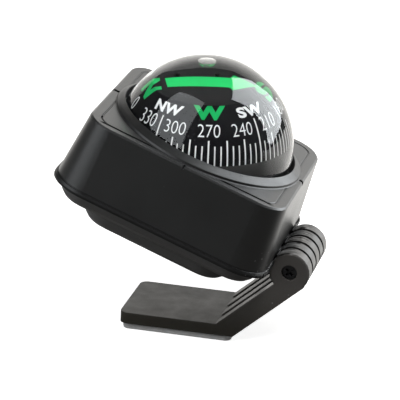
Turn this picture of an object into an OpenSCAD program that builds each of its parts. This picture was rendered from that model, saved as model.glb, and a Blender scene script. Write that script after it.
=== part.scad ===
// Ball compass for a car dashboard: a liquid filled ball capsule in a square housing, which tilts on a
// self-adhesive bracket. Millimetres. The origin is the middle of the adhesive pad's underside, +X runs from
// the foot to the hinge, +Y along the hinge axis and +Z up. The housing is modelled at the tilt it is set to,
// and the card inside stays level.

/* [Ball capsule] */
// Outside radius of the clear dome and of the bowl under it
ball_r = 21; // [19:0.5:23]
// Wall of the dome and of the bowl
ball_wall = 1; // [0.8:0.1:1.2]
// How far the ball's centre lies below the housing's top face
ball_drop = 2.3; // [2:0.1:3]
// How far the two flanges stand out from the ball
flange_w = 1.6; // [1.4:0.1:2]
// Thickness of the dome's flange
lens_flange_t = 1.5; // [1.2:0.1:2]
// Thickness of the bowl's flange
bowl_flange_t = 1.5; // [1.3:0.1:2]
// Thickness of the round sealing ring
seal_d = 0.76; // [0.6:0.02:0.8]
// Radius of the filling plug's stem
plug_r = 1.4; // [1:0.1:1.8]

/* [Housing] */
// Angle that the housing is tilted to about the hinge
tilt = 20.5; // [0:0.5:40]
// Height from the top face to the lower rim
housing_h = 17.1; // [15:0.1:19]
// Wall thickness
housing_wall = 1.8; // [1.4:0.1:2.2]
// How far each wall leans out on its way down
flare = 1.95; // [0:0.05:3]
// Radius of the upright corners at the top face
corner_r = 6.25; // [5:0.25:8]
// How far the lower rim's lip stands out
lip_out = 0.5; // [0.3:0.05:1]
// Height of that lip
lip_h = 1.1; // [0.8:0.1:2]
// Thickness of the inner ledge that carries the bezel
deck_t = 2; // [1.5:0.1:2.5]
// Least width of that ledge, at the middle of each side
deck_web = 0.25; // [0.2:0.05:1]
// Width of the housing's edge that frames the bezel
rim_w = 2.4; // [2:0.1:3]
// Width of the notch in that edge at the middle of the hinge side and of the side across from it
notch_w = 0.9; // [0.4:0.1:1.2]
// Width of the narrower notch at the middle of the two other sides
slot_w = 0.45; // [0.3:0.05:0.8]
// Depth of those notches
notch_d = 0.7; // [0.3:0.1:0.9]

/* [Bezel] */
// Height of the raised ring round the dome
ring_h = 1.5; // [0.8:0.1:2]
// Width of that ring's flat crest
crest_w = 0.5; // [0.4:0.1:1]
// Width of the slope outside the crest
slope_w = 1.1; // [0.6:0.1:1.4]
// Gap between the bezel and the housing's edge round it
seam_gap = 0.3; // [0.15:0.05:0.4]
// Bevel of the bezel's upper edge along that gap
seam_bevel = 0.2; // [0.1:0.05:0.3]
// Gap between the ring and the dome
ring_gap = 0.4; // [0.3:0.05:0.6]
// Width of each of the four latches
latch_w = 4; // [3:0.25:5]
// Thickness of a latch
latch_t = 0.8; // [0.6:0.1:0.9]
// Distance of the latches from the bezel's edge
latch_edge = 1; // [0.9:0.05:1.2]
// Height of a latch's hook under the ledge
latch_hook_h = 1.4; // [1:0.1:1.8]
// Clearance between a latch and the corner of the ball's flange
latch_clear = 0.6; // [0.4:0.1:0.8]

/* [Base cover] */
// How far the upper step lies inside the housing's lower rim
step_inset = 2.3; // [1.5:0.1:3]
// Height of the upper step
step_h = 3.4; // [2.5:0.1:4.5]
// How far the lower step lies inside the upper one
well_inset = 6.3; // [5.5:0.1:7]
// Wall thickness of the cover
cover_wall = 1.6; // [1.2:0.1:2]
// Gap under the ball
floor_gap = 0.5; // [0.3:0.1:1]
// Radius of the upright corners of both steps
cover_corner_r = 6.6; // [5:0.2:8]
// Size of the bevel round each lower edge
cover_bevel = 0.9; // [0.5:0.1:1.2]
// Height of the collar that locates the cover in the housing
collar_h = 1.6; // [1:0.1:2.5]
// Thickness of the cradle ribs
cradle_t = 1.4; // [1:0.1:2]

/* [Bracket] */
// Length of the foot
foot_l = 27.5; // [24:0.5:32]
// Width of the foot, the arm and the hinge
bracket_w = 22.6; // [21:0.2:25]
// Thickness of the foot
foot_t = 2.7; // [2.2:0.1:3.2]
// Radius of the foot's corners at its free end
foot_corner_r = 2; // [1:0.25:3]
// Thickness of the arm
arm_t = 4.8; // [4:0.1:5.5]
// Number of ribs on the arm
rib_count = 4; // [2:1:6]
// Width of the grooves between those ribs
groove_w = 3; // [1.5:0.1:3.2]
// Depth of the grooves
groove_d = 1.3; // [0.5:0.1:1.5]
// Thickness of the adhesive foam pad
pad_t = 1.5; // [1:0.1:2]
// How far the pad lies inside the foot's edges
pad_inset = 0.6; // [0.3:0.1:1.2]

/* [Hinge] */
// Height of the hinge axis above the surface that the pad is stuck to
hinge_z = 19; // [18.5:0.25:22]
// How far the hinge axis lies beyond the foot
hinge_reach = 12.45; // [11.5:0.05:15]
// How far the hinge axis lies outside the housing's lower rim
hinge_out = 4.5; // [4.4:0.1:6]
// How far the hinge axis lies below the housing's lower rim
hinge_drop = 0.4; // [0:0.1:1]
// Radius of the hinge barrel
barrel_r = 4.75; // [4.25:0.05:5]
// Width of each of the bracket's three ears
ear_w = 4.2; // [3.8:0.1:4.6]
// Gap at each side of a housing knuckle
side_gap = 0.4; // [0.3:0.05:0.5]
// Bevel round both ends of each ear and knuckle
leaf_bevel = 0.35; // [0.1:0.05:0.5]
// Height of the webs that carry the knuckles, above the hinge axis
web_h = 1.7; // [1.2:0.1:2.5]
// Gap round an ear or a knuckle where it turns in its recess
turn_gap = 0.35; // [0.3:0.05:0.5]
// Radius of the hinge screw's shank
screw_r = 1.2; // [1:0.05:1.4]
// Running clearance round that shank
screw_fit = 0.05; // [0.02:0.01:0.1]
// Radius of the screw's head
head_r = 1.75; // [1.6:0.05:2]
// Height of the screw's head
head_h = 1.2; // [0.8:0.1:1.5]
// Depth of the recess for the head
head_recess = 1.9; // [1.7:0.1:2.2]
// Width of the nut across its flats
nut_af = 4.6; // [4.3:0.1:5]
// Thickness of the nut
nut_t = 1.6; // [1.2:0.1:1.8]
// Thickness of the spring washer under the nut
washer_t = 0.5; // [0.3:0.1:0.6]

/* [Cover screws] */
// Radius of a cover screw's shank
tap_r = 1.1; // [0.9:0.05:1.3]
// Radius of a cover screw's head
tap_head_r = 2; // [1.8:0.1:2.2]
// Height of a cover screw's head
tap_head_h = 1.1; // [0.8:0.1:1.2]
// Length of a cover screw's shank
tap_l = 9; // [6:0.5:10]
// Wall round the hole in each screw post
post_wall = 1.5; // [1.2:0.1:1.7]

/* [Card] */
// Gap between the card and the dome's wall
card_gap = 4; // [3.5:0.05:4.5]
// Height of the card's flat top above its widest line
card_top_h = 11.8; // [11:0.1:12.3]
// Depth of the float under the widest line
float_h = 6; // [5:0.1:6.5]
// Wall thickness of the card and its float
card_wall = 0.7; // [0.5:0.1:0.9]
// Compass bearing line's turn away from the X axis
card_yaw = 15; // [0:1:359]
// Width and height of each of the two magnets
magnet_w = 3; // [2:0.1:3]
// Gap between a magnet and the walls on both sides of it
magnet_gap = 0.4; // [0.3:0.1:1]

/* [Pivot] */
// Height of the pivot point above the ball's centre
pivot_rise = 0.4; // [0.3:0.05:1]
// Depth of the card's widest line below the pivot point
card_drop = 0.25; // [0.1:0.05:0.6]
// Radius of the pivot needle
needle_r = 0.6; // [0.4:0.05:0.7]
// Length of the needle's cone
needle_cone_h = 2.4; // [2:0.1:3]
// Free length of the needle above its post
needle_free = 9.5; // [9:0.1:11]
// How deep the needle sits in the post
needle_seat = 4; // [3:0.5:6]
// Radius of the post at its top
post_r = 1.6; // [1.2:0.1:1.7]
// Radius of the ball shaped jewel
jewel_r = 1.6; // [1.4:0.05:1.7]
// Radius of the brass hub
hub_r = 2.6; // [2.4:0.05:2.7]
// Running clearance at the jewel and round the hub
pivot_fit = 0.06; // [0.03:0.01:0.1]

/* [Hidden] */
$fn = 96;
eps = 0.01;      // overlap of joined solids and overshoot of cuts
cut = 1;         // larger overshoot, for cuts that leave through a face
fit = 0.1;       // clearance of a loose push fit
seat_fit = 0.02; // clearance of a tight seat

// Ball capsule, measured from the ball's centre
ball_in_r = ball_r - ball_wall;
flange_r = ball_r + flange_w;
seam_z = -lens_flange_t;
seal_mid_r = ball_r + flange_w / 2;
seal_r = seal_d / 2;
plug_lean = 50;
plug_head_h = 0.9;
plug_head_w = 0.8;

// Housing, measured from the middle of its top face; a corner's centre stays the same at every height
flange_room = 0.2;
bezel_t = ball_drop;
top_half = flange_r + flange_room + deck_web + housing_wall;
core = top_half - corner_r;
bottom_half = top_half + flare;
top_bevel = 0.4;
bezel_half = top_half - rim_w - seam_gap;
bezel_corner_r = 3.4;
bezel_core = bezel_half - bezel_corner_r;
hole_r = ball_r + ring_gap;
post_at = core + 1;
post_outer_r = tap_r + post_wall;
latch_h = deck_t + latch_hook_h;
latch_catch = 0.4;
// The latches stand where the ball's flange leaves room, two at each of two sides
latch_in = bezel_half - latch_edge - latch_t;
latch_at = sqrt(pow(flange_r + flange_room, 2) - latch_in * latch_in) + latch_w / 2 + latch_clear;

// Base cover
step_half = bottom_half - step_inset;
well_half = step_half - well_inset;
cover_depth = ball_drop + ball_r + floor_gap + cover_wall;
well_h = cover_depth - housing_h - step_h;
collar_t = 1.2;
cradle_fit = 0.06;

// Hinge and bracket; y runs along the hinge from the screw's head to the nut
hinge_x = foot_l / 2 + hinge_reach;
hinge_u = bottom_half + hinge_out;
hinge_n = -housing_h - hinge_drop;
knuckle_w = (bracket_w - 3 * ear_w - 4 * side_gap) / 2;
ear_y = [-bracket_w / 2, -ear_w / 2, bracket_w / 2 - ear_w];
knuckle_y = [ear_y[0] + ear_w + side_gap, ear_y[1] + ear_w + side_gap];
foot_top = pad_t + foot_t;
// Slope of the arm's underside, which runs from the foot's lower edge past the barrel and just outside it
arm_skin = 0.1;
arm_end = 0.6;
arm_dx = hinge_reach;
arm_dz = hinge_z - pad_t;
arm_l = sqrt(arm_dx * arm_dx + arm_dz * arm_dz);
arm_slope = atan2(arm_dz, arm_dx) - asin((barrel_r + arm_skin) / arm_l);
arm_run = sqrt(arm_l * arm_l - pow(barrel_r + arm_skin, 2)) + arm_end;
arm_sink = 4;
rib_w = (bracket_w - (rib_count - 1) * groove_w) / rib_count;
head_seat_y = -bracket_w / 2 + head_recess;
nut_recess = nut_t + washer_t + 0.3;
nut_seat_y = bracket_w / 2 - nut_recess;

// Card, measured from the pivot point
card_r = ball_in_r - card_gap;
pivot_n = pivot_rise - ball_drop;
pivot_x = hinge_x - hinge_u * cos(tilt) + (pivot_n - hinge_n) * sin(tilt);
pivot_z = hinge_z + hinge_u * sin(tilt) + (pivot_n - hinge_n) * cos(tilt);
hub_low = -0.5;
hub_high = 2.4;
bush_wall = 0.8;
bush_low = -1.6;
keeper_in_r = 2;
well_r = 7;
bush_r = hub_r + pivot_fit + bush_wall;
bush_z = card_drop + bush_low;
well_slope = (well_r - hub_r - pivot_fit) / (bush_z + float_h);
jewel_flat = 0.9;
jewel_cone = 50;
post_top = pivot_rise - needle_free;
post_base_r = 3.2;

// Magnets: each fills the room between the needle's well and the float's outer wall
magnet_low = card_wall - float_h;
magnet_in = well_wall_r(magnet_low) + magnet_gap;
magnet_room = sqrt(pow(card_r - card_wall, 2) - magnet_low * magnet_low) - magnet_gap;
magnet_l = 2 * sqrt(magnet_room * magnet_room - pow(magnet_in + magnet_w, 2));

// Radius of the needle well's outer face at height z above the card's widest line
function well_wall_r(z) = bush_r + (bush_z + card_wall - z) * well_slope;

// Places its children in the housing's own frame: origin in the middle of the top face, walls upright
module in_housing() {
    translate([hinge_x, 0, hinge_z]) rotate([0, tilt, 0]) translate([-hinge_u, 0, -hinge_n]) children();
}

// Places its children at the ball's centre, upright in the housing
module in_ball() {
    in_housing() translate([0, 0, -ball_drop]) children();
}

// Places its children at the pivot point, level whatever the housing's tilt
module in_card() {
    translate([pivot_x, 0, pivot_z]) children();
}

// Corner radius of the housing's outside at depth n below its top face
function wall_r(n) = corner_r + flare * n / housing_h;

// Square block with rounded upright corners about fixed centres, whose corner radius goes from r_low at the
// bottom to r_high at the top
module corner_block(mid, r_low, r_high, h) {
    side = [[-mid - r_low, 0], [mid + r_low, 0], [mid + r_high, h], [-mid - r_high, h]];
    for (x = [-mid, mid], y = [-mid, mid]) translate([x, y, 0]) cylinder(h = h, r1 = r_low, r2 = r_high);
    rotate([90, 0, 0]) linear_extrude(2 * mid, center = true) polygon(side);
    rotate([90, 0, 90]) linear_extrude(2 * mid, center = true) polygon(side);
}

// The same block between two depths of the housing's sloping wall, grown outwards by grow
module wall_block(n_low, n_high, grow) {
    translate([0, 0, -n_low]) corner_block(core, wall_r(n_low) + grow, wall_r(n_high) + grow, n_low - n_high);
}

// Rod along the hinge axis, from y0 over length l, in the frame whose origin is on that axis
module hinge_rod(r, y0, l) {
    translate([0, y0, 0]) rotate([-90, 0, 0]) cylinder(h = l, r = r);
}

// The same rod with a bevel round both ends
module hinge_leaf(y0, l) {
    translate([0, y0, 0]) rotate([-90, 0, 0]) {
        cylinder(h = leaf_bevel, r1 = barrel_r - leaf_bevel, r2 = barrel_r);
        translate([0, 0, leaf_bevel]) cylinder(h = l - 2 * leaf_bevel, r = barrel_r);
        translate([0, 0, l - leaf_bevel]) cylinder(h = leaf_bevel, r1 = barrel_r, r2 = barrel_r - leaf_bevel);
    }
}

// Flat foot with two rounded corners at its free end
module foot_plate() {
    free_x = -foot_l / 2 + foot_corner_r;
    free_y = bracket_w / 2 - foot_corner_r;
    translate([0, 0, pad_t]) linear_extrude(foot_t) {
        translate([free_x, -bracket_w / 2]) square([foot_l - foot_corner_r, bracket_w]);
        translate([-foot_l / 2, -free_y]) square([foot_l / 2, 2 * free_y]);
        for (y = [-free_y, free_y]) translate([free_x, y]) circle(foot_corner_r);
    }
}

// Sloping arm, with a root that ends level with the foot's underside
module arm_slab() {
    difference() {
        translate([foot_l / 2, 0, pad_t]) rotate([0, -arm_slope, 0])
            translate([-arm_sink, -bracket_w / 2, 0]) cube([arm_sink + arm_run, bracket_w, arm_t]);
        translate([0, -bracket_w, pad_t - foot_l]) cube([foot_l, 2 * bracket_w, foot_l]);
        translate([-cut - foot_l, -bracket_w, 0]) cube([foot_l + cut, 2 * bracket_w, hinge_z]);
    }
}

// Grooves that leave the ribs standing on the arm's upper face
module arm_grooves() {
    translate([foot_l / 2, 0, pad_t]) rotate([0, -arm_slope, 0])
        for (i = [1 : rib_count - 1]) {
            y = -bracket_w / 2 + i * (rib_w + groove_w) - groove_w;
            translate([-foot_l, y, arm_t - groove_d]) cube([foot_l + arm_run + barrel_r, groove_w, arm_t]);
        }
}

// Bracket: foot, ribbed arm and three ears, bored for the hinge screw
module mounting_bracket() {
    color([0.13, 0.13, 0.13]) difference() {
        union() {
            foot_plate();
            difference() {
                arm_slab();
                difference() {
                    arm_grooves();
                    translate([0, -bracket_w, 0]) cube([foot_l, 2 * bracket_w, foot_top]);
                }
            }
            for (y = ear_y) translate([hinge_x, 0, hinge_z]) hinge_leaf(y, ear_w);
        }
        translate([hinge_x, 0, hinge_z]) {
            for (y = knuckle_y) hinge_rod(barrel_r + turn_gap, y - side_gap, knuckle_w + 2 * side_gap);
            hinge_rod(screw_r + screw_fit, -bracket_w / 2 - cut, bracket_w + 2 * cut);
            hinge_rod(head_r + fit, -bracket_w / 2 - cut, head_recess + cut);
            translate([0, nut_seat_y, 0]) rotate([-90, 0, 0])
                cylinder(h = nut_recess + cut, r = (nut_af / 2 + fit) / cos(30), $fn = 6);
        }
    }
}

// Foam pad, sticky on both faces
module adhesive_pad() {
    l = foot_l - 2 * pad_inset;
    w = bracket_w - 2 * pad_inset;
    r = foot_corner_r - pad_inset / 2;
    color([0.72, 0.72, 0.72]) linear_extrude(pad_t) {
        square([l, w - 2 * r], center = true);
        square([l - 2 * r, w], center = true);
        for (x = [r - l / 2, l / 2 - r], y = [r - w / 2, w / 2 - r]) translate([x, y]) circle(r);
    }
}

// Cross head screw through all five hinge leaves
module hinge_screw() {
    socket_w = 0.5;
    socket_d = 0.7;
    color([0.2, 0.2, 0.2]) translate([hinge_x, 0, hinge_z]) difference() {
        union() {
            hinge_rod(head_r, head_seat_y - head_h, head_h);
            hinge_rod(screw_r, head_seat_y - eps, bracket_w / 2 - head_seat_y - fit);
        }
        for (a = [45, 135]) rotate([0, a, 0])
            translate([-head_r * 0.62, head_seat_y - head_h - cut, -socket_w / 2])
                cube([head_r * 1.24, socket_d + cut, socket_w]);
    }
}

// Split spring washer, which keeps the leaves pressed together
module hinge_washer() {
    outer = nut_af / 2 - seat_fit;
    color([0.6, 0.6, 0.6]) translate([hinge_x, 0, hinge_z]) difference() {
        hinge_rod(outer, nut_seat_y, washer_t);
        hinge_rod(screw_r + seat_fit, nut_seat_y - cut, washer_t + 2 * cut);
        translate([0, nut_seat_y - cut, -0.2]) cube([outer + cut, washer_t + 2 * cut, 0.4]);
    }
}

// Hexagon nut, held in the far ear
module hinge_nut() {
    color([0.65, 0.65, 0.65]) translate([hinge_x, 0, hinge_z]) difference() {
        translate([0, nut_seat_y + washer_t, 0]) rotate([-90, 0, 0])
            cylinder(h = nut_t, r = nut_af / 2 / cos(30), $fn = 6);
        hinge_rod(screw_r + seat_fit, nut_seat_y, nut_recess + cut);
    }
}

// One knuckle with the web that carries it, seen along the hinge and given the leaf's width
module knuckle(y) {
    in_x = -hinge_out - housing_wall / 2;
    near = barrel_r * sin(45);
    translate([hinge_u, 0, hinge_n]) {
        hinge_leaf(y, knuckle_w);
        translate([0, y + knuckle_w, 0]) rotate([90, 0, 0]) linear_extrude(knuckle_w)
            polygon([[0, 0], [-near, web_h], [in_x, web_h], [in_x, hinge_drop], [-hinge_out, hinge_drop],
                     [-near, -near]]);
    }
}

// Hollow screw posts in the four corners
module screw_posts() {
    top = bezel_t + deck_t / 2;
    for (x = [-post_at, post_at], y = [-post_at, post_at])
        translate([x, y, -housing_h + collar_t]) cylinder(h = housing_h - collar_t - top, r = post_outer_r);
}

// Lip round the housing's lower rim, bevelled on top
module lip() {
    r = wall_r(housing_h) + lip_out;
    corner_block(core, r, r, lip_h / 2);
    translate([0, 0, lip_h / 2]) corner_block(core, r, r - lip_out * 0.7, lip_h / 2);
}

// Housing: four sloping walls, an inner ledge, screw posts and two hinge knuckles
module housing_shell() {
    ledge = bezel_t + deck_t;
    color([0.14, 0.14, 0.14]) in_housing() difference() {
        union() {
            difference() {
                union() {
                    wall_block(housing_h, top_bevel, 0);
                    translate([0, 0, -top_bevel])
                        corner_block(core, wall_r(top_bevel), wall_r(0) - top_bevel, top_bevel);
                    translate([0, 0, -housing_h]) lip();
                }
                wall_block(housing_h + cut, ledge, -housing_wall);
            }
            intersection() {
                screw_posts();
                wall_block(housing_h, ledge - eps, -housing_wall / 2);
            }
            for (y = knuckle_y) knuckle(y);
        }
        translate([0, 0, -bezel_t])
            corner_block(bezel_core, bezel_corner_r + seam_gap, bezel_corner_r + seam_gap, bezel_t + cut);
        translate([0, 0, -ledge - cut]) cylinder(h = ledge + 2 * cut, r = flange_r + flange_room);
        for (a = [0 : 90 : 270]) rotate([0, 0, a])
            translate([bezel_half - cut, (a % 180 == 0 ? -notch_w : -slot_w) / 2, -notch_d])
                cube([rim_w + 2 * cut, a % 180 == 0 ? notch_w : slot_w, notch_d + cut]);
        for (s = [-1, 1], m = [0, 1]) mirror([0, m, 0])
            translate([s * latch_at - latch_w / 2 - fit, latch_in - fit, -ledge - cut])
                cube([latch_w + 2 * fit, latch_t + latch_catch + 2 * fit, deck_t + 2 * cut]);
        for (x = [-post_at, post_at], y = [-post_at, post_at])
            translate([x, y, -housing_h - cut]) cylinder(h = tap_l + cut, r = tap_r + seat_fit);
        translate([hinge_u, 0, hinge_n]) {
            for (y = ear_y) hinge_rod(barrel_r + turn_gap, y - side_gap, ear_w + 2 * side_gap);
            hinge_rod(screw_r + screw_fit, -bracket_w / 2 - cut, bracket_w + 2 * cut);
        }
    }
}

// One latch of the bezel, seen along the side and given the latch's width
module latch() {
    low = -bezel_t - latch_h;
    translate([latch_w / 2, latch_in, 0]) rotate([90, 0, -90]) linear_extrude(latch_w)
        polygon([[0, low], [-latch_t * 0.6, low], [-latch_t - latch_catch, low + latch_h - deck_t - fit],
                 [-latch_t, low + latch_h - deck_t - fit], [-latch_t, -bezel_t + eps], [0, -bezel_t + eps]]);
}

// Bezel: square plate with a raised ring round the dome, and four latches that snap behind the ledge. At the
// middle of each side the ring stands over the housing's edge
module bezel_plate() {
    foot_r = hole_r + crest_w + slope_w;
    color([0.16, 0.16, 0.16]) in_housing() {
        difference() {
            union() {
                translate([0, 0, -bezel_t])
                    corner_block(bezel_core, bezel_corner_r, bezel_corner_r, bezel_t - seam_bevel);
                translate([0, 0, -seam_bevel])
                    corner_block(bezel_core, bezel_corner_r, bezel_corner_r - seam_bevel, seam_bevel);
            }
            translate([0, 0, -bezel_t - cut]) cylinder(h = bezel_t + 2 * cut, r = hole_r);
        }
        rotate_extrude() polygon([[hole_r, 0], [foot_r, 0], [hole_r + crest_w, ring_h], [hole_r, ring_h]]);
        for (s = [-1, 1], m = [0, 1]) mirror([0, m, 0]) translate([s * latch_at, 0, 0]) latch();
    }
}

// Hollow of the base cover: wall thickness left all round each step
module cover_hollow() {
    mid = step_half - cover_corner_r;
    well_mid = well_half - cover_corner_r;
    r = cover_corner_r - cover_wall;
    translate([0, 0, -housing_h - step_h + cover_wall]) corner_block(mid, r, r, step_h + cut);
    translate([0, 0, cover_wall - cover_depth]) corner_block(well_mid, r, r, well_h + cover_wall);
}

// Base cover: two steps, a locating collar, ribs that cradle the ball, and four screw holes
module base_cover() {
    mid = step_half - cover_corner_r;
    well_mid = well_half - cover_corner_r;
    r = cover_corner_r;
    collar_r = wall_r(housing_h) - housing_wall - fit - flare * collar_h / housing_h;
    floor_n = housing_h + step_h;
    color([0.12, 0.12, 0.12]) in_housing() difference() {
        union() {
            difference() {
                union() {
                    translate([0, 0, cover_bevel - floor_n]) corner_block(mid, r, r, step_h - cover_bevel);
                    translate([0, 0, -floor_n]) corner_block(mid, r - cover_bevel, r, cover_bevel);
                    translate([0, 0, cover_bevel - cover_depth])
                        corner_block(well_mid, r, r, well_h - cover_bevel + cover_wall);
                    translate([0, 0, -cover_depth]) corner_block(well_mid, r - cover_bevel, r, cover_bevel);
                    translate([0, 0, -housing_h - eps])
                        corner_block(core, collar_r, collar_r, collar_h + eps);
                }
                cover_hollow();
                translate([0, 0, -housing_h + cover_wall]) corner_block(core, collar_r - collar_t,
                                                                      collar_r - collar_t, collar_h);
            }
            intersection() {
                for (a = [0, 90]) rotate([0, 0, a + 45])
                    translate([-well_half, -cradle_t / 2, cover_wall / 2 - cover_depth])
                        cube([2 * well_half, cradle_t, well_h + step_h / 2]);
                cover_hollow();
            }
            for (x = [-post_at, post_at], y = [-post_at, post_at])
                translate([x, y, -floor_n]) cylinder(h = step_h, r = tap_head_r + post_wall / 2);
        }
        translate([0, 0, -ball_drop]) sphere(ball_r + cradle_fit);
        translate([0, 0, -housing_h + eps]) for (x = [-post_at, post_at], y = [-post_at, post_at])
            translate([x, y, 0]) cylinder(h = collar_h + cut, r = post_outer_r + fit);
        for (x = [-post_at, post_at], y = [-post_at, post_at]) translate([x, y, -floor_n - cut]) {
            cylinder(h = step_h + 2 * cut, r = tap_r + seat_fit);
            cylinder(h = tap_head_h + fit + cut, r = tap_head_r + fit);
        }
    }
}

// Four self-tapping screws that hold the cover
module base_screws() {
    seat = -housing_h - step_h + tap_head_h + fit;
    color([0.35, 0.35, 0.35]) in_housing()
        for (x = [-post_at, post_at], y = [-post_at, post_at]) translate([x, y, seat]) difference() {
            union() {
                translate([0, 0, -tap_head_h]) cylinder(h = tap_head_h, r = tap_head_r);
                translate([0, 0, -eps]) cylinder(h = step_h + tap_l - tap_head_h - cut, r = tap_r);
            }
            for (a = [0, 90]) rotate([0, 0, a])
                translate([-tap_head_r * 0.6, -0.25, -tap_head_h - cut])
                    cube([tap_head_r * 1.2, 0.5, cut + 0.5]);
        }
}

// Clear dome: half a ball with a flange round its edge
module dome_lens() {
    color([0.8, 0.9, 0.95, 0.35]) in_ball() rotate_extrude() difference() {
        union() {
            intersection() {
                circle(ball_r);
                square(ball_r);
            }
            translate([0, seam_z]) square([flange_r, lens_flange_t]);
        }
        circle(ball_in_r);
        translate([0, seam_z - cut]) square([ball_in_r, lens_flange_t + cut]);
    }
}

// Bowl: lower part of the ball, with its flange, the needle's post and a hole for the filling plug
module capsule_bowl() {
    color([0.2, 0.2, 0.21]) in_ball() difference() {
        union() {
            rotate_extrude() difference() {
                union() {
                    intersection() {
                        circle(ball_r);
                        translate([0, -ball_r]) square([ball_r, ball_r + seam_z]);
                    }
                    translate([0, seam_z - bowl_flange_t]) square([flange_r, bowl_flange_t]);
                }
                circle(ball_in_r);
                translate([seal_mid_r - seal_r - seat_fit, seam_z - seal_d - seat_fit])
                    square([seal_d + 2 * seat_fit, seal_d + seat_fit + cut]);
            }
            translate([0, 0, -ball_in_r - ball_wall / 2])
                cylinder(h = post_top + ball_in_r + ball_wall / 2, r1 = post_base_r, r2 = post_r);
        }
        translate([0, 0, post_top - needle_seat]) cylinder(h = needle_seat + cut, r = needle_r + seat_fit);
        rotate([0, 180 - plug_lean, 90]) translate([0, 0, ball_in_r - cut])
            cylinder(h = ball_wall + 2 * cut, r = plug_r + seat_fit);
    }
}

// Round sealing ring between the two flanges
module capsule_seal() {
    color([0.08, 0.08, 0.08]) in_ball() rotate_extrude()
        translate([seal_mid_r, seam_z - seal_r - seat_fit / 2]) circle(seal_r);
}

// Plug that closes the filling hole
module fill_plug() {
    color([0.3, 0.3, 0.3]) in_ball() rotate([0, 180 - plug_lean, 90]) {
        translate([0, 0, ball_in_r]) cylinder(h = ball_wall, r = plug_r);
        translate([0, 0, ball_r - eps]) cylinder(h = plug_head_h + eps, r = plug_r + plug_head_w);
    }
}

// Steel needle that the card turns and tips on
module pivot_needle() {
    low = post_top - needle_seat + seat_fit;
    tip_r = 0.08;
    color([0.75, 0.75, 0.78]) in_ball() rotate_extrude()
        polygon([[0, low], [needle_r, low], [needle_r, pivot_rise - needle_cone_h],
                 [tip_r, pivot_rise - tip_r], [0, pivot_rise - tip_r / 2]]);
}

// Jewel: a ball with a cone for the needle's tip
module jewel_cup() {
    mouth = (jewel_flat + cut) * tan(jewel_cone);
    color([0.75, 0.2, 0.3]) in_card() difference() {
        sphere(jewel_r);
        translate([-jewel_r - cut, -jewel_r - cut, -jewel_r - cut])
            cube([2 * (jewel_r + cut), 2 * (jewel_r + cut), jewel_r + cut - jewel_flat]);
        translate([0, 0, -jewel_flat - cut]) cylinder(h = jewel_flat + cut, r1 = mouth, r2 = 0);
    }
}

// Brass hub, a socket for the jewel
module card_hub() {
    color([0.8, 0.65, 0.3]) in_card() difference() {
        translate([0, 0, hub_low]) cylinder(h = hub_high - hub_low, r = hub_r);
        sphere(jewel_r + pivot_fit);
    }
}

// Card: a dome of printed plastic with a flat top
module compass_card() {
    inner = card_r - card_wall;
    color([0.05, 0.05, 0.05]) in_card() translate([0, 0, -card_drop]) rotate_extrude() difference() {
        intersection() {
            circle(card_r);
            square([card_r, card_top_h]);
        }
        intersection() {
            circle(inner);
            translate([0, -cut]) square([inner, card_top_h - card_wall + cut]);
        }
    }
}

// Float: closes the card from below, with a well for the needle and a bush for the hub
module card_float() {
    inner = card_r - card_wall;
    cap_z = card_drop + hub_high + pivot_fit;
    rim_z = bush_z + card_wall;
    deep_z = card_wall - float_h - cut;
    open_z = max(rim_z, card_wall) + cut;
    color([0.22, 0.22, 0.23]) in_card() translate([0, 0, -card_drop]) rotate_extrude() difference() {
        union() {
            intersection() {
                circle(card_r);
                translate([0, -float_h]) square([card_r, float_h]);
            }
            polygon([[0, -cut], [well_wall_r(-cut), -cut], [bush_r, rim_z], [bush_r, cap_z + bush_wall],
                     [0, cap_z + bush_wall]]);
        }
        difference() {
            intersection() {
                circle(inner);
                translate([0, card_wall - float_h]) square([inner, float_h]);
            }
            polygon([[0, deep_z], [well_wall_r(deep_z), deep_z], [bush_r, rim_z], [bush_r, open_z],
                     [0, open_z]]);
        }
        polygon([[0, -float_h - cut], [well_r + cut, -float_h - cut], [well_r, -float_h],
                 [hub_r + pivot_fit, bush_z], [hub_r + pivot_fit, cap_z], [0, cap_z]]);
    }
}

// Two bar magnets on the float's floor, at both sides of the needle's well
module card_magnets() {
    color([0.45, 0.45, 0.48]) in_card() rotate([0, 0, card_yaw]) for (m = [0, 1]) mirror([0, m, 0])
        translate([-magnet_l / 2, magnet_in, magnet_low - card_drop]) cube([magnet_l, magnet_w, magnet_w]);
}

// Ring under the hub that keeps the card on its needle
module pivot_keeper() {
    color([0.8, 0.65, 0.3]) in_card() difference() {
        translate([0, 0, bush_low]) cylinder(h = hub_low - bush_low - fit, r = hub_r + pivot_fit - seat_fit);
        translate([0, 0, bush_low - cut]) cylinder(h = hub_low - bush_low + 2 * cut, r = keeper_in_r);
    }
}

mounting_bracket();
adhesive_pad();
hinge_screw();
hinge_washer();
hinge_nut();
housing_shell();
bezel_plate();
base_cover();
base_screws();
dome_lens();
capsule_bowl();
capsule_seal();
fill_plug();
pivot_needle();
jewel_cup();
card_hub();
compass_card();
card_float();
card_magnets();
pivot_keeper();
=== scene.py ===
"""Looks of a dashboard ball compass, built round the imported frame. Lengths are metres."""

import math

import bmesh
import bpy
import numpy as np
from mathutils import Matrix, Vector


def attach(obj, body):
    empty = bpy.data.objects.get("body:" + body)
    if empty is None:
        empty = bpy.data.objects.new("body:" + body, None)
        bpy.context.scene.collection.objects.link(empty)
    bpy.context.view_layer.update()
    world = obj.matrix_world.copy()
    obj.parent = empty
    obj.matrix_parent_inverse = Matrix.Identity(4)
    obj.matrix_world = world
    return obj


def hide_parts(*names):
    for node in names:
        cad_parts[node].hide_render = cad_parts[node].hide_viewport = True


MM = 0.001
TAU = 2 * math.pi

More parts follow.
